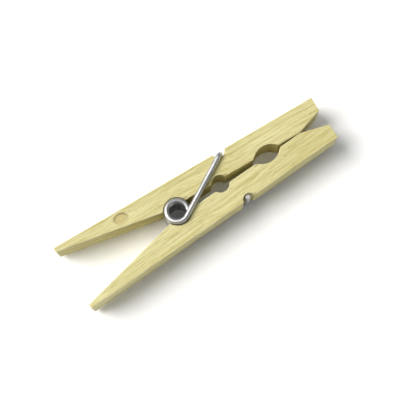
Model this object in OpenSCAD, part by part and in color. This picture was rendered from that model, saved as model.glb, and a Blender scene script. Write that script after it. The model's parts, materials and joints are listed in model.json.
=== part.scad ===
// A sprung wooden clothespin, closed and lying on its side.
// +X runs to the jaw tips, +Y is the moving lever's side, +Z is up along the spring's coil.
// The levers are one shape: the fixed one is the moving one turned over about the X direction.

/* [Lever] */
// Length of a lever, from jaw tip to handle end
lever_l = 72; // [68:0.5:76]
// Width of a lever, across the clothespin
lever_w = 9.3; // [8.8:0.1:10.5]
// Thickness of a lever at the jaw
lever_t = 6.1; // [5.8:0.1:6.8]
// Thickness left at the end of the handle taper
handle_end_t = 1.2; // [0.8:0.1:2]

/* [Jaw] */
// Length of the lead-in bevel at the jaw tip
bevel_l = 7; // [5:0.5:8]
// Depth of the lead-in bevel at the jaw tip
bevel_d = 2.3; // [1.5:0.1:3]
// Gap between the closed jaws
jaw_gap = 0.04; // [0.02:0.01:0.1]

/* [Line notches] */
// Distance from the jaw tip to the middle of the wide notch
wide_notch_at = 16.5; // [15.5:0.5:17.5]
// Length of the wide notch along the lever
wide_notch_l = 7; // [6:0.5:7.5]
// Depth of the wide notch
wide_notch_d = 1.7; // [1.2:0.1:2.2]
// Distance from the jaw tip to the middle of the small notch
small_notch_at = 29.9; // [28.5:0.1:30.5]
// Radius of the round eye that the two small notches close into
small_eye_r = 2.15; // [1.9:0.05:2.3]

/* [Spring] */
// Distance from the jaw tip to the spring's axis
spring_at = 42.2; // [41:0.1:43]
// Distance from the spring's axis to the inner face of each lever
axis_to_face = 1.35; // [1.2:0.05:1.5]
// Diameter of the spring wire
wire_d = 1.3; // [1.1:0.05:1.3]
// Radius of the coil, to the middle of the wire
coil_r = 2.6; // [2.4:0.05:2.7]
// Turns of the coil, counting as a whole one the part turn left open between the arms
coil_turns = 8; // [6:1:8]
// Radius of the bend where an arm turns across the lever
bend_r = 1.1; // [1:0.05:1.2]
// Room between the coil and its seat in each lever
seat_gap = 0.15; // [0.1:0.01:0.3]
// Room between an arm and the side of the levers
side_gap = 0.15; // [0.1:0.01:0.3]

/* [Wire groove] */
// Distance from the jaw tip to the middle of the groove across the outer face
groove_at = 26.3; // [25:0.1:27.5]
// Length of the groove along the lever
groove_l = 3.2; // [3:0.1:3.6]
// Depth of the groove
groove_d = 1.4; // [1.35:0.05:1.5]

/* [Hidden] */
wood = [0.85, 0.78, 0.55];
steel = [0.72, 0.73, 0.74];
round_fn = 96;
wire_fn = 48;
// Margin by which a cut runs past the solid that it is cut from
past = 1;
// Room between the wire and the bottom of its groove
groove_gap = 0.02;
// Room between the coil's end and the moving arm
arm_end_gap = 0.02;
// The taper starts this far behind the spring's axis, inside the seat
taper_from = 2.6;
// The wire's end stops this far short of the lever's far side
end_inset = 0.9;
wire_end_bevel = 0.15;
// The coil's facets: rings in each turn, and sides of the wire
turn_rings = 20;
wire_sides = 10;

// Lever frame: spring axis at the origin, x to the jaw tip, y outward
outer_y = axis_to_face + lever_t;
tip_x = spring_at;
end_x = spring_at - lever_l;
grip_x = spring_at - bevel_l;
// Each lever leans by this angle to bring the front of its gripping flat to the other's
grip_reach = sqrt(grip_x * grip_x + axis_to_face * axis_to_face);
lean = atan2(axis_to_face, grip_x) - asin(jaw_gap / 2 / grip_reach);

// Object frame: the box is centred on X = 0 and Y = 0, and stands on Z = 0
spring_x = -(tip_x * cos(lean) + outer_y * sin(lean)
    + end_x * cos(lean) + (outer_y - handle_end_t) * sin(lean)) / 2;
mid_z = wire_d + side_gap + lever_w / 2;
// Height of each arm's middle above or below mid_z
arm_z = lever_w / 2 + side_gap + wire_d / 2;

// Wire in its groove, in the lever frame and then leaned
wire_x = spring_at - groove_at;
wire_y = outer_y - groove_d + wire_d / 2 + groove_gap;
hook_x = wire_x * cos(lean) + wire_y * sin(lean);
hook_y = wire_y * cos(lean) - wire_x * sin(lean);
hook_reach = sqrt(hook_x * hook_x + hook_y * hook_y);
// Each arm leaves the coil on the far side and crosses to its own lever
arm_angle = atan2(hook_y, hook_x) + asin(coil_r / hook_reach);
arm_l = sqrt(hook_reach * hook_reach - coil_r * coil_r) - bend_r;
coil_start = 90 - arm_angle;
coil_sweep = 360 * coil_turns - 2 * coil_start;

// Radius of an arc, from its length across and its depth
function arc_r(across, depth) = (across * across / 4 + depth * depth) / (2 * depth);

module place_moving() {
    translate([spring_x, 0, mid_z]) children();
}

module place_fixed() {
    place_moving() rotate([180, 0, 0]) children();
}

// A round cut across the lever, centred at [x, y] in the lever frame
module cross_cut(x, y, r) {
    translate([x, y, -lever_w / 2 - past]) cylinder(r = r, h = lever_w + 2 * past, $fn = round_fn);
}

// Straight stock with a bevelled jaw and a tapered handle
module lever_blank() {
    translate([0, 0, -lever_w / 2]) linear_extrude(lever_w) polygon([
        [end_x, outer_y],
        [end_x, outer_y - handle_end_t],
        [-taper_from, axis_to_face],
        [grip_x, axis_to_face],
        [tip_x, axis_to_face + bevel_d],
        [tip_x, outer_y]
    ]);
}

module spring_seat() {
    cross_cut(0, 0, coil_r + wire_d / 2 + seat_gap);
}

module small_notch() {
    reach = spring_at - small_notch_at;
    cross_cut(reach * cos(lean), reach * sin(lean), small_eye_r);
}

module wide_notch() {
    r = arc_r(wide_notch_l, wide_notch_d);
    cross_cut(spring_at - wide_notch_at, axis_to_face + wide_notch_d - r, r);
}

module wire_groove() {
    r = arc_r(groove_l, groove_d);
    cross_cut(wire_x, outer_y - groove_d + r, r);
}

module lever() {
    rotate([0, 0, -lean]) difference() {
        lever_blank();
        spring_seat();
        small_notch();
        wide_notch();
        wire_groove();
    }
}

// Straight from the coil, a bend down past the lever's side, then across the outer face
module spring_arm(start_gap) {
    cross_l = lever_w + side_gap + wire_d / 2 - bend_r - end_inset;
    rotate([0, 0, arm_angle]) translate([0, -coil_r, arm_z]) {
        translate([start_gap, 0, 0]) rotate([0, 90, 0])
            cylinder(d = wire_d, h = arm_l - start_gap, $fn = wire_fn);
        translate([arm_l, 0, -bend_r]) rotate([90, 0, 0])
            rotate_extrude(angle = 90, $fn = wire_fn) translate([bend_r, 0]) circle(d = wire_d, $fn = wire_fn);
        translate([arm_l + bend_r, 0, -bend_r]) mirror([0, 0, 1]) {
            cylinder(d = wire_d, h = cross_l - wire_end_bevel, $fn = wire_fn);
            translate([0, 0, cross_l - wire_end_bevel])
                cylinder(d1 = wire_d, d2 = wire_d - 2 * wire_end_bevel, h = wire_end_bevel, $fn = wire_fn);
        }
    }
}

// One ring of the coiled wire, at turn angle a above its start
function coil_ring(a) = [
    for (k = [0 : wire_sides - 1])
        let (
            b = 360 * k / wire_sides,
            r = coil_r + wire_d / 2 * cos(b),
            z = -arm_z + 2 * arm_z * a / coil_sweep + wire_d / 2 * sin(b)
        )
        [r * cos(coil_start + a), r * sin(coil_start + a), z]
];

// Two triangles for each side of the wire between ring i and the next
function coil_sides(i) = [
    for (k = [0 : wire_sides - 1])
        let (
            a = i * wire_sides + k,
            b = i * wire_sides + (k + 1) % wire_sides
        )
        each [[a, a + wire_sides, b], [b, a + wire_sides, b + wire_sides]]
];

module coil() {
    rings = ceil(coil_sweep / 360 * turn_rings);
    start_cap = [for (k = [0 : wire_sides - 1]) k];
    end_cap = [for (k = [wire_sides - 1 : -1 : 0]) rings * wire_sides + k];
    polyhedron(
        points = [for (i = [0 : rings]) each coil_ring(coil_sweep * i / rings)],
        faces = concat([start_cap], [for (i = [0 : rings - 1]) each coil_sides(i)], [end_cap])
    );
}

module fixed_lever() {
    color(wood) place_fixed() lever();
}

module moving_lever() {
    color(wood) place_moving() lever();
}

module spring_coil() {
    color(steel) place_moving() coil();
}

module fixed_spring_arm() {
    color(steel) place_fixed() spring_arm(0);
}

module moving_spring_arm() {
    color(steel) place_moving() spring_arm(arm_end_gap);
}

fixed_lever();
moving_lever();
spring_coil();
fixed_spring_arm();
moving_spring_arm();
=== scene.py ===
import json
import math

import bmesh
import bpy
from mathutils import Matrix, Vector, noise


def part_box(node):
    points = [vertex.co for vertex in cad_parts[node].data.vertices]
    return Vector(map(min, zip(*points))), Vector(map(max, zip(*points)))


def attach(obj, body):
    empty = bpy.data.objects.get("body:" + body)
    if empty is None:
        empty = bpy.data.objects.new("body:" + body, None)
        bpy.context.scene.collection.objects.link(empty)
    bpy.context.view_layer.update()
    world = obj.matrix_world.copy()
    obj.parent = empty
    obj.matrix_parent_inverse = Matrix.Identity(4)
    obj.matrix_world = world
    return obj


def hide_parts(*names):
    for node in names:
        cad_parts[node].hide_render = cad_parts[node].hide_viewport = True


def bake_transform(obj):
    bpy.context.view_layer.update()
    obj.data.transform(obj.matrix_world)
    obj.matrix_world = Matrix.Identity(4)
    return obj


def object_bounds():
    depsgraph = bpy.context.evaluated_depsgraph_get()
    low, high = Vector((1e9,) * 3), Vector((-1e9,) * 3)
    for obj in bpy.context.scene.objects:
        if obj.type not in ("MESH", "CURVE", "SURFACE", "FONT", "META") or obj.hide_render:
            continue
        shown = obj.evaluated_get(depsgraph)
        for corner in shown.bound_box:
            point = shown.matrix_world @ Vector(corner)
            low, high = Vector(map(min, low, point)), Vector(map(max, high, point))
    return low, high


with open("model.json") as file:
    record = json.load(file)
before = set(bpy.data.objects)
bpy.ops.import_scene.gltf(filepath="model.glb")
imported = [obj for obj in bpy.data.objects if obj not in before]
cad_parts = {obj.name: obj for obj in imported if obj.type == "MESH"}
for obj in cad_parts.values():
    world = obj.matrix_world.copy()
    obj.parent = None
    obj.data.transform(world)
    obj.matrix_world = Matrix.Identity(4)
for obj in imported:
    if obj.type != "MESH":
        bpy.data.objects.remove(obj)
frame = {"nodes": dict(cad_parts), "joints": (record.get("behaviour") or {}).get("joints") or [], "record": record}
cad_low, cad_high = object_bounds()

# A wooden spring clothespin, closed and lying on its side. Blender's units are metres; names
# ending in _MM are millimetres. Each lever has its own axes: x to the jaw tip, y outward and
# z along the coil, from the middle of the coil.
MM = 0.001
MOUNTS = {mount["name"]: mount for mount in frame["record"]["mounts"]}
PIVOT = Vector(frame["joints"][0]["pos_m"])
UP = Vector((0, 0, 1))

# ------------------------------------------------------------------ node graphs


class Graph:
    """The nodes of a material or a world. Most calls add a node and return its output."""

    def __init__(self, owner, shader="Principled BSDF"):
        owner.use_nodes = True
        self.owner = owner
        self.tree = owner.node_tree
        self.shader = self.tree.nodes[shader]

    def feed(self, socket, value):
        if isinstance(value, bpy.types.NodeSocket):
            self.tree.links.new(value, socket)
        else:
            socket.default_value = value

    def add(self, kind, values, **settings):
        node = self.tree.nodes.new(kind)
        for key, setting in settings.items():
            setattr(node, key, setting)
        for key, value in values.items():
            self.feed(node.inputs[key], value)
        return node

    def attribute(self, name):
        return self.add("ShaderNodeAttribute", {}, attribute_name=name).outputs["Vector"]

    def facing_up(self):
        """1 where the surface faces straight up or down, 0 where it stands upright."""
        normal = self.add("ShaderNodeNewGeometry", {}).outputs["Normal"]
        return self.math("ABSOLUTE", self.parts(normal)[2])

    def parts(self, vector):
        outputs = self.add("ShaderNodeSeparateXYZ", {"Vector": vector}).outputs
        return outputs["X"], outputs["Y"], outputs["Z"]

    def vector(self, x, y, z):
        return self.add("ShaderNodeCombineXYZ", {"X": x, "Y": y, "Z": z}).outputs["Vector"]

    def math(self, operation, a, b=0.0, c=0.0):
        values = {0: a, 1: b, 2: c}
        return self.add("ShaderNodeMath", values, operation=operation).outputs["Value"]

    def total(self, start, *terms):
        """start plus each term's value times its weight."""
        for value, weight in terms:
            start = self.math("MULTIPLY_ADD", value, weight, start)
        return start

    def vector_math(self, operation, a, b=(0, 0, 0)):
        return self.add("ShaderNodeVectorMath", {0: a, 1: b}, operation=operation).outputs

    def stretch(self, vector, factors):
        return self.vector_math("MULTIPLY", vector, factors)["Vector"]

    def shift(self, vector, step):
        return self.vector_math("ADD", vector, step)["Vector"]

    def length(self, vector):
        return self.vector_math("LENGTH", vector)["Value"]

    def noise(self, vector, detail=2.0, roughness=0.55):
        values = {"Vector": vector, "Scale": 1.0, "Detail": detail, "Roughness": roughness}
        return self.add("ShaderNodeTexNoise", values).outputs["Fac"]

    def step(self, value, low, high, to_low=0.0, to_high=1.0):
        """A smooth step as value goes from low to high."""
        values = {"Value": value, "From Min": low, "From Max": high}
        values.update({"To Min": to_low, "To Max": to_high})
        node = self.add("ShaderNodeMapRange", values, interpolation_type="SMOOTHSTEP")
        return node.outputs["Result"]

    def mix(self, factor, a, b):
        """Colour a where factor is 0 and b where it is 1."""
        node = self.add("ShaderNodeMix", {}, data_type="RGBA")
        factor_socket, a_socket, b_socket = node.inputs[0], node.inputs[6], node.inputs[7]
        self.feed(factor_socket, factor)
        self.feed(a_socket, a)
        self.feed(b_socket, b)
        return node.outputs[2]

    def colour(self, value):
        self.feed(self.shader.inputs["Base Color"], value)

    def roughness(self, value):
        self.feed(self.shader.inputs["Roughness"], value)

    def relief(self, height, depth, strength):
        """Bumps as high as depth, in metres."""
        values = {"Height": height, "Distance": depth, "Strength": strength}
        bump = self.add("ShaderNodeBump", values)
        self.feed(self.shader.inputs["Normal"], bump.outputs["Normal"])


# ------------------------------------------------------------------ wood

PALE_WOOD = (0.70, 0.645, 0.34, 1)
DEEP_WOOD = (0.43, 0.365, 0.11, 1)
# The arrises' paler colour: partly real wear, partly a painted highlight along every edge
WORN_AND_HIGHLIT_WOOD = (0.80, 0.765, 0.54, 1)
END_WOOD = (0.48, 0.41, 0.16, 1)
FLECK = (0.20, 0.14, 0.045, 1)
TORN_WOOD = (0.29, 0.22, 0.08, 1)
KNOT_HEART = (0.50, 0.415, 0.165, 1)
KNOT_RIM = (0.25, 0.175, 0.06, 1)

# How quickly each layer of the wood changes along x, y and z, in cycles to the millimetre
WANDER = (0.06, 0.12, 0.12)
FIBRES = (0.09, 2.3, 2.3)
HAIRS = (0.25, 7, 7)
VESSELS = (0.22, 13, 13)
DRIFT = (0.035, 0.22, 0.22)
DASHES = (0.5, 4.4, 4.4)
PORES = (1, 9, 9)

# Growth rings, in cycles to the millimetre out from the pith and along the lever
RINGS = 1.15
RINGS_ALONG = 0.012

# How far the grain wanders to the side, and how high the shader's bumps are
WANDER_MM = 1.6
BUMP_MM = 0.055

# Taken off the sum of the layers that lighten the wood
LAYERS_OFF = 0.94

# How much of the end grain's, flecks' and torn wood's colours shows, and of the arrises' paler colour
# (partly worn wood, partly a painted highlight) at the least and the most
END_SHARE = 0.85
FLECK_SHARE = 0.5
TORN_SHARE = 0.5
RUBBED_AND_HIGHLIT_SHARES = (0.35, 0.8)

WOOD_ROUGHNESS = 0.58
WOOD_IOR = 1.4

# The saw's faint curved marks: how many to the millimetre along x, how far they slant and curve
# with y, and how often they break along y
SAW_MARKS = 2.1
SAW_SLANT = 0.3
SAW_CURVE = 0.02
SAW_BREAKS = 0.2

# A pin knot runs through the lever along z. KNOT_MM is its radius across the grain, and along the
# grain it is drawn out by 1 / KNOT_DRAW. Its outline is uneven by KNOT_UNEVEN_MM from its lowest
# place to its highest. Its ringed heart and its dark rim each fade out between two radii, and the
# rim is fainter on its pale side.
KNOT_MM = 1.25
KNOT_DRAW = 0.68
KNOT_UNEVEN = (0.5, 0.5, 0.05)
KNOT_UNEVEN_MM = 0.9
KNOT_RINGS = 11
HEART_RING_SHARE = 0.35
HEART_FADES_MM = (0.5 * KNOT_MM, 0.82 * KNOT_MM)
RIM_FADES_MM = (0.8 * KNOT_MM, 1.15 * KNOT_MM)
RIM_SHARE = 0.85
PALE_SIDE_SHARE = 0.35

# Beside a knot the grain is pressed together by this share, fading to none between two distances
GRAIN_PARTS_BY = 0.68
GRAIN_PARTS_MM = (0.6 * KNOT_MM, 2.2 * KNOT_MM)


def knot_reach(g, here, knot):
    """The distance from the middle of a knot, in millimetres across the grain."""
    centred = g.shift(here, (-knot[0], -knot[1], 0))
    return g.length(g.stretch(centred, (KNOT_DRAW, 1, 0)))


def part_grain(g, grain, here, knot):
    """The grain's axes, pressed together beside the knot so that its lines flow round it."""
    reach = knot_reach(g, here, knot)
    near = g.step(reach, *GRAIN_PARTS_MM, GRAIN_PARTS_BY, 0)
    off_line = g.math("SUBTRACT", g.parts(here)[1], knot[1])
    return g.shift(grain, g.vector(0, g.math("MULTIPLY", g.math("MULTIPLY", off_line, near), -1), 0))


def draw_knot(g, colour, here, knot):
    """A fine dark rim round a ringed heart, neither of them quite round, darker on one side."""
    uneven = g.noise(g.stretch(here, KNOT_UNEVEN), 1)
    reach = g.total(knot_reach(g, here, knot), (uneven, KNOT_UNEVEN_MM))
    reach = g.math("SUBTRACT", reach, KNOT_UNEVEN_MM / 2)
    rings = g.step(g.math("SINE", g.math("MULTIPLY", reach, KNOT_RINGS)), -1, 1, 0, HEART_RING_SHARE)
    heart = g.mix(rings, KNOT_HEART, PALE_WOOD)
    off_line = g.math("SUBTRACT", g.parts(here)[1], knot[1])
    side = g.step(off_line, -KNOT_MM, KNOT_MM, PALE_SIDE_SHARE, 1)
    dark = g.math("MULTIPLY", side, g.step(reach, *RIM_FADES_MM, RIM_SHARE, 0))
    rim = g.mix(dark, colour, KNOT_RIM)
    return g.mix(g.step(reach, *HEART_FADES_MM, 1, 0), rim, heart)


def grain_axes(g, here, seed, knots):
    """The lever's axes, bent as its grain is: it wanders slowly and parts round each knot."""
    wander = g.noise(g.stretch(g.shift(here, (seed, 0, 0)), WANDER), 1)
    wander = g.math("MULTIPLY", wander, WANDER_MM)
    grain = g.shift(here, g.vector(0, wander, wander))
    for knot in knots:
        grain = part_grain(g, grain, here, knot)
    return grain


def growth_rings(g, grain, seed, pith):
    """Rings about the pith, which show as long bands on every face."""
    from_pith = g.length(g.stretch(g.shift(grain, (0, -pith[0], -pith[1])), (0, 1, 1)))
    slowly = g.math("MULTIPLY", g.parts(grain)[0], RINGS_ALONG)
    return g.noise(g.vector(slowly, g.math("MULTIPLY", from_pith, RINGS), seed))


def saw_marks(g, here, seed):
    """Faint curved marks on the two sawn faces, which face straight up and down."""
    x, y = g.parts(here)[:2]
    bend = g.math("MULTIPLY", g.math("MULTIPLY", y, y), SAW_CURVE)
    mark = g.math("MULTIPLY", g.total(x, (y, SAW_SLANT), (bend, 1)), SAW_MARKS)
    marks = g.noise(g.vector(mark, g.math("MULTIPLY", y, SAW_BREAKS), seed), 3)
    return g.math("MULTIPLY", marks, g.step(g.facing_up(), 0.9, 1))


def end_grain(g, here, rings):
    """The colour of a face cut across the grain, with its pores and growth rings."""
    pores = g.step(g.noise(g.stretch(here, PORES), 2), 0.3, 0.7)
    light = g.total(-0.1, (pores, 0.55), (g.step(rings, 0.35, 0.65), 0.6))
    return g.mix(light, END_WOOD, PALE_WOOD)


def wood(name, seed, tone, pith, knots):
    """Pale straight-grained wood, sawn on its top and bottom. tone lightens it, and pith is the
    middle of its growth rings, as y and z of the lever's own axes."""
    g = Graph(bpy.data.materials.new(name))
    here = g.attribute("lever_mm")
    arris, across, torn = g.parts(g.attribute("marks"))
    grain = grain_axes(g, here, seed, knots)
    rings = growth_rings(g, grain, seed, pith)
    sawn = saw_marks(g, here, seed)
    fibres = g.noise(g.stretch(g.shift(grain, (0, seed, 0)), FIBRES), 3, 0.6)
    hairs = g.noise(g.stretch(g.shift(grain, (0, 0, seed)), HAIRS), 2, 0.6)
    vessels = g.noise(g.stretch(g.shift(grain, (seed, 0, 0)), VESSELS), 1)
    drift = g.noise(g.stretch(g.shift(grain, (seed, seed, 0)), DRIFT), 1)
    dashes = g.noise(g.stretch(g.shift(grain, (seed, 0, seed)), DASHES))
    dashes = g.step(dashes, 0.67, 0.72)

    light = g.total(
        tone - LAYERS_OFF,
        (g.step(rings, 0.3, 0.7), 0.34),
        (g.step(fibres, 0.25, 0.75), 0.58),
        (g.step(hairs, 0.25, 0.75), 0.42),
        (g.step(vessels, 0.28, 0.42), 0.3),
        (g.step(drift, 0.3, 0.7), 0.3),
        (sawn, 0.1),
    )
    colour = g.mix(light, DEEP_WOOD, PALE_WOOD)
    colour = g.mix(g.math("MULTIPLY", across, END_SHARE), colour, end_grain(g, here, rings))
    colour = g.mix(g.math("MULTIPLY", dashes, FLECK_SHARE), colour, FLECK)
    for knot in knots:
        colour = draw_knot(g, colour, here, knot)
    # Every arris is paled, partly as worn wood and partly as a painted highlight
    rubbed_and_highlit = g.math("MULTIPLY", arris, g.step(drift, 0.3, 0.65, *RUBBED_AND_HIGHLIT_SHARES))
    colour = g.mix(rubbed_and_highlit, colour, WORN_AND_HIGHLIT_WOOD)
    g.colour(g.mix(g.step(torn, 0.05, 0.7, 0, TORN_SHARE), colour, TORN_WOOD))

    roughnesses = (fibres, 0.22), (across, 0.15), (arris, -0.06), (torn, 0.15)
    g.roughness(g.total(WOOD_ROUGHNESS, *roughnesses))
    g.shader.inputs["IOR"].default_value = WOOD_IOR
    heights = (fibres, 0.6), (hairs, 0.45), (vessels, 0.25), (dashes, -0.4), (sawn, 0.35)
    g.relief(g.total(0, *heights), BUMP_MM * MM, 0.9)
    return g.owner


# ------------------------------------------------------------------ levers

# Cleaning the CAD shape: what counts as one point, one flat face, a corner and a long edge
SEAM_MM = 0.002
FLAT = math.radians(1)
SHARP = math.radians(25)
LONG_EDGE_MM = 1

# Cells to carve: their size along x, y and z, and closer cuts beside a corner and over a knot
CELLS_MM = (0.9, 0.24, 0.2)
CORNER_CUTS_MM = (0.2, 0.42, 0.7, 1.1)
KNOT_CUTS_MM = [KNOT_MM * i / 4 for i in range(-6, 7)]
CUT_SNAP_MM = 0.004

# Rounded arrises. Their wear, and the painted highlight along them, reach this many arris widths from a corner,
# and are full one width nearer.
ARRIS_MM = 0.16
ARRIS_WEAR_AND_HIGHLIGHT_REACH = 1.4

# How deep each roughness goes
RIDGE_DEPTH_MM = 0.07
CROSS_CUT_DEPTH_MM = 0.06
NICK_DEPTH_MM = 0.12
TEAR_DEPTH_MM = 0.24
KNOT_RIM_DEPTH_MM = 0.05

# A knot's pressed rim: the middle of it and half its width, in shares of the knot's radius
KNOT_RIM_AT = 0.85
KNOT_RIM_HALF = 0.25

# Tears: how far from a corner they reach along x and along y, and how long one is at full depth
TEAR_REACH_MM = 1.6
TEAR_WIDE_MM = 0.7
FULL_TEAR_MM = 0.7

# Corners this near the lever's ends have no tears, nor do faces cut more across the grain than this
END_MARGIN_MM = 3
TEARS_UP_TO_ACROSS = 0.6

# How quickly each roughness of the surface changes along x, y and z, in cycles to the millimetre
RIDGES = (0.05, 1.1, 1.1)
FINE_RIDGES = (0.12, 2.2, 2.2)
CUT_ROUGHNESS = (2, 2.4, 3.1)
NICKS = (0.5, 0.8, 0.8)
TORN_PATCHES = (0, 0, 0.35)
SPLINTERS = (0, 1.2, 1.7)
SLIVERS = (0.4, 2, 4.5)

# What a tear's length is made of: each noise, how it shifts from corner to corner, and its weight.
# The total less TEAR_SPARED is the length, in shares of TEAR_REACH_MM.
TEAR_LAYERS = ((TORN_PATCHES, 5.3, 1.2), (SPLINTERS, 2.7, 0.9), (SLIVERS, 0, 0.3))
TEAR_SPARED = 0.1


class LeverAxes:
    """The lever's own axes at rest, worked out from its outer face."""

    def __init__(self, body):
        self.outward = Vector(MOUNTS[body + "_outer_face"]["axis"]).normalized()
        self.along = UP.cross(self.outward)
        if self.along.x < 0:
            self.along = -self.along
        self.directions = (self.along, self.outward, UP)

    def to_mm(self, point):
        from_pivot = point - PIVOT
        return Vector([from_pivot.dot(direction) for direction in self.directions]) / MM


def clean_solid(node):
    """The CAD node's shape with its seams joined and each flat face in one piece."""
    bm = bmesh.new()
    bm.from_mesh(frame["nodes"][node].data)
    bmesh.ops.remove_doubles(bm, verts=bm.verts, dist=SEAM_MM * MM)
    bmesh.ops.dissolve_limit(bm, angle_limit=FLAT, verts=bm.verts, edges=bm.edges)
    return bm


def sharp_edges(bm):
    return [edge for edge in bm.edges if edge.is_manifold and edge.calc_face_angle() > SHARP]


def profile_corners(bm, axes):
    """The x and y of each sharp corner of the lever's profile."""
    corners = set()
    for edge in sharp_edges(bm):
        a, b = (axes.to_mm(vert.co) for vert in edge.verts)
        if abs(a.z - b.z) > LONG_EDGE_MM:
            corners.add((round(a.x, 3), round(a.y, 3)))
    return sorted(corners)


def cut_across(bm, axes, index, places):
    """Cuts every face where the lever's own x, y or z has one of the given values."""
    for place in places:
        bmesh.ops.bisect_plane(
            bm,
            geom=bm.verts[:] + bm.edges[:] + bm.faces[:],
            dist=CUT_SNAP_MM * MM,
            plane_co=PIVOT + axes.directions[index] * place * MM,
            plane_no=axes.directions[index],
        )


def cut_cells(bm, axes, corners, knots):
    """Cuts the faces in cells small enough to carve, smaller beside the corners and knots."""
    points = [axes.to_mm(vert.co) for vert in bm.verts]
    for index, cell in enumerate(CELLS_MM):
        low = min(point[index] for point in points)
        high = max(point[index] for point in points)
        count = round((high - low) / cell)
        cut_across(bm, axes, index, [low + (high - low) * i / count for i in range(1, count)])
    beside = [x + side * gap for x, y in corners for gap in CORNER_CUTS_MM for side in (-1, 1)]
    over_knots = [x + cut for x, y in knots for cut in KNOT_CUTS_MM]
    cut_across(bm, axes, 0, beside + over_knots)


def unevenness(point, scales, seed):
    """Smooth noise from -1 to 1."""
    x, y, z = scales
    return noise.noise(Vector((point.x * x + seed, point.y * y, point.z * z - seed)))


def tear(point, corners, seed):
    """How torn the grain is, 0 to 1: here and there a splinter is out beside a notch's corner."""
    worst = 0.0
    for x, y in corners:
        reach = abs(point.x - x)
        if reach > TEAR_REACH_MM or abs(point.y - y) > TEAR_WIDE_MM:
            continue
        share = 0.0
        for scales, shift, weight in TEAR_LAYERS:
            share += weight * unevenness(point, scales, seed + x * shift)
        length = TEAR_REACH_MM * (share - TEAR_SPARED)
        if length > reach:
            worst = max(worst, math.sqrt(1 - reach / length) * length / FULL_TEAR_MM)
    return min(1.0, worst)


def arris_share(point, facing, corners):
    """How far a point is on an arris, 0 to 1: a long one, or one across at a corner."""
    steepness = facing[2] ** 2
    long_arris = 4 * steepness * (1 - steepness)
    gap = min(math.hypot(point.x - x, point.y - y) for x, y in corners)
    return min(1.0, max(long_arris, ARRIS_WEAR_AND_HIGHLIGHT_REACH - gap / ARRIS_MM))


def on_knot_rim(point, knots):
    """1 on the middle of a knot's rim, and 0 from its edges on."""
    share = 0.0
    for x, y in knots:
        from_rim = math.hypot((point.x - x) * KNOT_DRAW, point.y - y) / KNOT_MM - KNOT_RIM_AT
        share += max(0.0, 1 - abs(from_rim) / KNOT_RIM_HALF)
    return share


def press_depth(point, facing, marks, knots, seed):
    """How deep a point is pressed in, in millimetres: fibre ridges, rough cross cuts, nicked
    arrises, torn grain and the knots' rims."""
    arris, across, torn = marks
    ridge = unevenness(point, RIDGES, seed) + 0.7 * unevenness(point, FINE_RIDGES, seed)
    roughness = unevenness(point, CUT_ROUGHNESS, seed)
    depth = RIDGE_DEPTH_MM * (0.55 + 0.5 * ridge) * (1 - across)
    depth += CROSS_CUT_DEPTH_MM * (0.5 + 0.5 * roughness) * across
    depth += NICK_DEPTH_MM * arris * max(0.0, unevenness(point, NICKS, seed))
    depth += TEAR_DEPTH_MM * torn
    depth += KNOT_RIM_DEPTH_MM * facing[2] * on_knot_rim(point, knots)
    return max(0.0, depth)


def carve(bm, axes, corners, knots, seed):
    """Presses the surface in, and never out. Returns the marks of each vertex: how far it is
    arris, cross cut and torn."""
    bm.normal_update()
    ends = [x for x, y in corners]
    inside = (min(ends) + END_MARGIN_MM, max(ends) - END_MARGIN_MM)
    notch_corners = [corner for corner in corners if inside[0] < corner[0] < inside[1]]
    moves = []
    marks = []
    for vert in bm.verts:
        p = axes.to_mm(vert.co)
        facing = [abs(vert.normal.dot(direction)) for direction in axes.directions]
        across = facing[0]
        arris = arris_share(p, facing, corners)
        torn = tear(p, notch_corners, seed) if across < TEARS_UP_TO_ACROSS else 0.0
        marks.append((arris, across, torn))
        moves.append(vert.normal * -press_depth(p, facing, marks[-1], knots, seed) * MM)
    for vert, move in zip(bm.verts, moves):
        vert.co += move
    return marks


def place(name, bm, material, attributes):
    """Makes the object of a finished shape, with its material and attributes."""
    for face in bm.faces:
        face.smooth = True
    mesh = bpy.data.meshes.new(name)
    bm.to_mesh(mesh)
    bm.free()
    for attribute, vectors in attributes.items():
        data = mesh.attributes.new(attribute, "FLOAT_VECTOR", "POINT").data
        data.foreach_set("vector", [value for vector in vectors for value in vector])
    mesh.materials.append(material)
    piece = bpy.data.objects.new(name, mesh)
    bpy.context.scene.collection.objects.link(piece)
    return piece


def make_lever(body, seed, tone, pith, knots):
    axes = LeverAxes(body)
    bm = clean_solid(body + "_lever")
    corners = profile_corners(bm, axes)
    arrises = sharp_edges(bm)
    bmesh.ops.bevel(bm, geom=arrises, offset=ARRIS_MM * MM, segments=2, profile=0.5, affect="EDGES")
    cut_cells(bm, axes, corners, knots)
    lever_mm = [axes.to_mm(vert.co) for vert in bm.verts]
    marks = carve(bm, axes, corners, knots, seed)
    material = wood(body + "_lever_wood", seed, tone, pith, knots)
    lever = place(body + "_lever_wood", bm, material, {"lever_mm": lever_mm, "marks": marks})
    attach(lever, body)
    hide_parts(body + "_lever")


# ------------------------------------------------------------------ spring

WIRE_MM = 1.3
BEND_MM = 1.1
END_ROUND_MM = 0.15

# Counts as a whole turn the part turn left open between the arms
TURNS = 8

# The coil's climb eases in and out over this turn, so that it meets the arms level
EASE = math.radians(40)

# Facets: the wire's sides, and its rings in each turn and along each stretch of an arm
WIRE_SIDES = 20
TURN_RINGS = 72
STRAIGHT_RINGS = 16
BEND_RINGS = 16
FOOT_RINGS = 8
END_RINGS = 3

# The steel: lines along the wire from drawing it, and duller patches in the zinc
DRAW_LINE_DEPTH_MM = 0.006
WIRE_LINE = (0.50, 0.50, 0.49, 1)
WIRE_BRIGHT = (0.70, 0.70, 0.69, 1)
WIRE_DULL = (0.44, 0.44, 0.44, 1)
DRAW_LINES = (0.12, 6, 6)
ZINC_PATCHES = (0.7, 1.2, 1.2)


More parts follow.
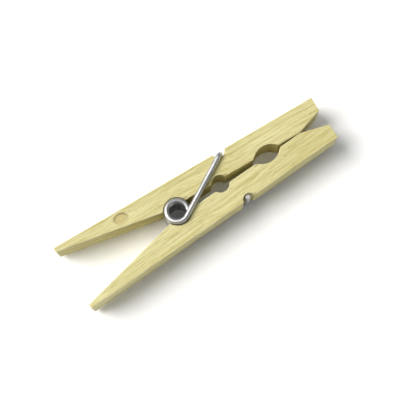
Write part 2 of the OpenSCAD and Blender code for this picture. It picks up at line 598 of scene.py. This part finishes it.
def steel():
    """Drawn spring wire with a dull zinc coat."""
    g = Graph(bpy.data.materials.new("drawn_steel"))
    along = g.attribute("wire_mm")
    lines = g.step(g.noise(g.stretch(along, DRAW_LINES), 3, 0.6), 0.3, 0.7)
    dull = g.step(g.noise(g.stretch(along, ZINC_PATCHES), 3, 0.6), 0.35, 0.68)
    g.colour(g.mix(dull, g.mix(lines, WIRE_LINE, WIRE_BRIGHT), WIRE_DULL))
    g.roughness(g.total(0.26, (dull, 0.16), (lines, 0.08)))
    g.shader.inputs["Metallic"].default_value = 1
    g.relief(lines, DRAW_LINE_DEPTH_MM * MM, 0.6)
    return g.owner


def sweep(centres, outs, radii):
    """A closed tube round a path. Each ring lies in the plane of its out direction and the
    direction across the path from it. Returns the shape and each vertex's wire_mm."""
    bm = bmesh.new()
    rings = []
    wire_mm = []
    run = 0.0
    for i, centre in enumerate(centres):
        before = centres[max(i - 1, 0)]
        after = centres[min(i + 1, len(centres) - 1)]
        run += (centre - before).length / MM
        over = (after - before).cross(outs[i]).normalized()
        ring = []
        for k in range(WIRE_SIDES):
            turn = 2 * math.pi * k / WIRE_SIDES
            spoke = outs[i] * math.cos(turn) + over * math.sin(turn)
            ring.append(bm.verts.new(centre + spoke * radii[i]))
            wire_mm.append((run, math.cos(turn) * WIRE_MM / 2, math.sin(turn) * WIRE_MM / 2))
        rings.append(ring)
    for a, b in zip(rings, rings[1:]):
        for k in range(WIRE_SIDES):
            j = (k + 1) % WIRE_SIDES
            bm.faces.new((a[k], a[j], b[j], b[k]))
    caps = [bm.faces.new(rings[0]), bm.faces.new(rings[-1])]
    for edge in caps[0].edges[:] + caps[1].edges[:]:
        edge.smooth = False
    bmesh.ops.recalc_face_normals(bm, faces=bm.faces)
    return bm, wire_mm


class SpringSizes:
    """The spring's sizes, in metres, from the boxes of its CAD nodes."""

    def __init__(self):
        self.wire_r = WIRE_MM / 2 * MM
        low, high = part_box("spring_coil")
        self.coil_r = (high.x - low.x) / 2 - self.wire_r
        low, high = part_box("moving_spring_arm")
        self.arm_z = high.z - self.wire_r - PIVOT.z
        self.end_z = low.z - PIVOT.z
        self.hook = Vector((high.x - self.wire_r, high.y - self.wire_r, 0)) - PIVOT
        reach = math.hypot(self.hook.x, self.hook.y)
        self.arm_angle = math.atan2(self.hook.y, self.hook.x) + math.asin(self.coil_r / reach)
        self.straight = math.sqrt(reach**2 - self.coil_r**2) - BEND_MM * MM


def coil_path(sizes):
    """Ring centres and outward directions, from the fixed arm below up to the moving arm. The
    climb eases in and out, so that each end meets its arm level."""
    start = math.pi / 2 - sizes.arm_angle
    sweep_angle = 2 * math.pi * TURNS - 2 * start
    count = round(sweep_angle / (2 * math.pi) * TURN_RINGS)
    centres = []
    outs = []
    for i in range(count + 1):
        turn = sweep_angle * i / count
        from_end = min(turn, sweep_angle - turn)
        climb = min(from_end, EASE) ** 2 / (2 * EASE) + max(0.0, from_end - EASE)
        share = climb / (sweep_angle - EASE)
        if turn > sweep_angle / 2:
            share = 1 - share
        out = Vector((math.cos(start + turn), math.sin(start + turn), 0))
        centres.append(PIVOT + out * sizes.coil_r + UP * (2 * share - 1) * sizes.arm_z)
        outs.append(out)
    return centres, outs


def arm_path(sizes, side):
    """Ring centres, sideways directions and radii of an arm, from the coil to its cut end.
    side is 1 for the moving lever's arm, on top, and -1 for the fixed lever's, below."""
    ahead = Vector((math.cos(sizes.arm_angle), side * math.sin(sizes.arm_angle), 0))
    sideways = Vector((-ahead.y, ahead.x, 0)) * -side
    start = PIVOT + sideways * sizes.coil_r + UP * side * sizes.arm_z
    bend = BEND_MM * MM
    corner = start + ahead * sizes.straight - UP * side * bend
    steps = range(STRAIGHT_RINGS + 1)
    centres = [start + ahead * sizes.straight * i / STRAIGHT_RINGS for i in steps]
    for i in range(1, BEND_RINGS + 1):
        turn = math.pi / 2 * i / BEND_RINGS
        centres.append(corner + (ahead * math.sin(turn) + UP * side * math.cos(turn)) * bend)
    radii = [sizes.wire_r] * len(centres)
    foot = centres[-1]
    drop = foot.z - PIVOT.z - side * sizes.end_z
    end_round = END_ROUND_MM * MM
    for i in range(1, FOOT_RINGS + 1):
        centres.append(foot - UP * (drop - side * end_round) * i / FOOT_RINGS)
        radii.append(sizes.wire_r)
    for i in range(1, END_RINGS + 1):
        turn = math.pi / 2 * i / END_RINGS
        centres.append(foot - UP * (drop - side * end_round * (1 - math.sin(turn))))
        radii.append(sizes.wire_r - end_round * (1 - math.cos(turn)))
    return centres, [sideways] * len(centres), radii


def finish_wire(node):
    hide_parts(node)


def make_spring(material):
    sizes = SpringSizes()
    centres, outs = coil_path(sizes)
    bm, wire_mm = sweep(centres, outs, [sizes.wire_r] * len(centres))
    coil = place("spring_coil_wire", bm, material, {"wire_mm": wire_mm})
    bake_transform(coil)
    finish_wire("spring_coil")
    for body, side in (("fixed", -1), ("moving", 1)):
        bm, wire_mm = sweep(*arm_path(sizes, side))
        arm = place(body + "_spring_arm_wire", bm, material, {"wire_mm": wire_mm})
        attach(arm, body)
        finish_wire(body + "_spring_arm")


# ------------------------------------------------------------------ stage

VIEW_ELEVATION = math.radians(80)
VIEW_TURN = math.radians(33)
VIEW_DISTANCE = 0.27
LENS_MM = 100
NEAREST_SEEN = 0.01

# The lamps. KEY_FROM and OVERHEAD_FROM are their places, in metres to the right, ahead and up from
# the middle of the clothespin.
KEY_LIGHT = 3.5
KEY_SPREAD = math.radians(38)
KEY_COLOUR = (1.0, 0.985, 0.96)
KEY_FROM = (-0.95, 0.12, 1.25)
OVERHEAD_LIGHT = 1.5
OVERHEAD_SIZE = 0.8
OVERHEAD_COLOUR = (0.97, 0.98, 1.0)
OVERHEAD_FROM = (0, 0.13, 0.9)

# The room's light fades from HORIZON_LIGHT to ROOM_LIGHT between these heights, 1 being overhead
ROOM_LIGHT = 0.17
ROOM_COLOUR = (0.95, 0.97, 1.0, 1)
HORIZON_LIGHT = 1.1
HORIZON_FADES = (0.04, 0.3)

FLOOR_SIZE = 4.0
FLOOR_COLOUR = (0.98, 0.98, 0.98, 1)
FLOOR_ROUGHNESS = 0.85

VIEW_RIGHT = Vector((math.cos(VIEW_TURN), -math.sin(VIEW_TURN), 0))
VIEW_AHEAD = Vector((math.sin(VIEW_TURN), math.cos(VIEW_TURN), 0))
CENTRE = (cad_low + cad_high) / 2


def aim(obj, position, target, right=None):
    """Puts a lamp or the camera at position, looking at target."""
    back = (position - target).normalized()
    right = right or UP.cross(back).normalized()
    axes = Matrix((right, back.cross(right), back)).transposed()
    obj.matrix_world = Matrix.Translation(position) @ axes.to_4x4()
    bpy.context.scene.collection.objects.link(obj)


def in_view(right, ahead, up):
    """The place that far to the right, ahead and up from the middle of the clothespin."""
    return CENTRE + (UP * up + VIEW_RIGHT * right + VIEW_AHEAD * ahead)


def make_camera():
    data = bpy.data.cameras.new("camera")
    data.lens = LENS_MM
    data.clip_start = NEAREST_SEEN
    data.dof.use_dof = False
    camera = bpy.data.objects.new("camera", data)
    back = UP * math.sin(VIEW_ELEVATION) - VIEW_AHEAD * math.cos(VIEW_ELEVATION)
    aim(camera, CENTRE + back * VIEW_DISTANCE, CENTRE, VIEW_RIGHT)
    bpy.context.scene.camera = camera


def make_lights():
    """A broad soft light from the left of the view, and a dim one overhead."""
    data = bpy.data.lights.new("key", "SUN")
    data.energy = KEY_LIGHT
    data.angle = KEY_SPREAD
    data.color = KEY_COLOUR
    aim(bpy.data.objects.new("key", data), in_view(*KEY_FROM), CENTRE)
    data = bpy.data.lights.new("overhead", "AREA")
    data.energy = OVERHEAD_LIGHT
    data.size = OVERHEAD_SIZE
    data.color = OVERHEAD_COLOUR
    aim(bpy.data.objects.new("overhead", data), in_view(*OVERHEAD_FROM), CENTRE)


def make_world():
    """A dim cool room, white near the horizon where the floor meets it."""
    g = Graph(bpy.data.worlds.new("studio"), "Background")
    towards = g.add("ShaderNodeTexCoord", {}).outputs["Generated"]
    height = g.parts(towards)[2]
    strength = g.step(height, *HORIZON_FADES, HORIZON_LIGHT, ROOM_LIGHT)
    g.feed(g.shader.inputs["Strength"], strength)
    g.shader.inputs["Color"].default_value = ROOM_COLOUR
    bpy.context.scene.world = g.owner


def make_floor():
    half = FLOOR_SIZE / 2
    mesh = bpy.data.meshes.new("floor")
    corners = [(-half, -half, 0), (half, -half, 0), (half, half, 0), (-half, half, 0)]
    mesh.from_pydata(corners, [], [(0, 1, 2, 3)])
    g = Graph(bpy.data.materials.new("white_floor"))
    g.shader.inputs["Base Color"].default_value = FLOOR_COLOUR
    g.shader.inputs["Roughness"].default_value = FLOOR_ROUGHNESS
    mesh.materials.append(g.owner)
    floor = bpy.data.objects.new("floor", mesh)
    bpy.context.scene.collection.objects.link(floor)


# ------------------------------------------------------------------ the clothespin

make_lever("fixed", seed=3.7, tone=0.44, pith=(31, 9), knots=[])
make_lever("moving", seed=11.2, tone=0.36, pith=(-26, 14), knots=[(-12.5, 5.35)])
make_spring(steel())
make_floor()
make_world()
make_lights()
make_camera()
bpy.context.scene.view_settings.view_transform = "Standard"
